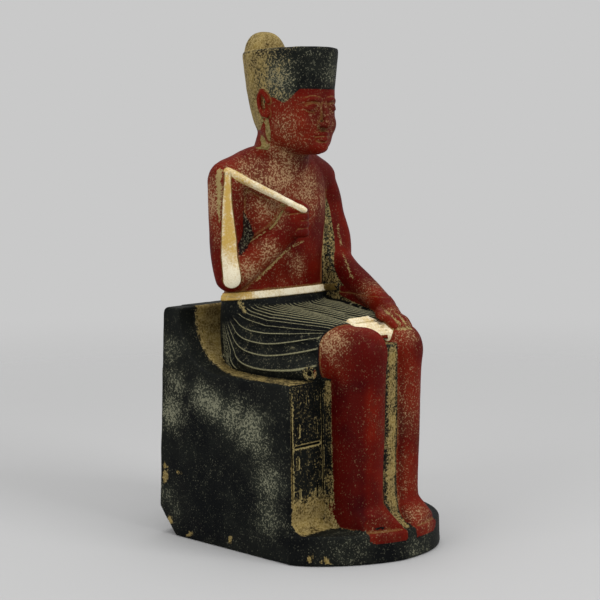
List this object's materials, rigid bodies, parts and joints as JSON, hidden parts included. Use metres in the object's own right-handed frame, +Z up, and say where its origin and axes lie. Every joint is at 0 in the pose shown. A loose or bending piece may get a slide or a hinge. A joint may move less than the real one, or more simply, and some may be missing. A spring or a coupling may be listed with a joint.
{
  "type": "seated pharaoh statue",
  "caption": "Painted cast-stone souvenir statue of a seated Egyptian king in a tall flat crown and pleated kilt, on a block throne with a low back, holding a flail.",
  "frame": {"origin": "on the flat underside, on the middle plane, straight below the front face of the throne", "axes": "+Z up, towards the crown; the king faces -Y; +X is the king's left"},
  "size_m": [0.109, 0.14, 0.28],
  "materials": {
    "painted_cast_stone": "satin oxide-red and black paint rubbed back over an ochre cast-stone body, with cream details"
  },
  "bodies": {
    "root": {"statue": "painted_cast_stone"}
  },
  "joints": []
}
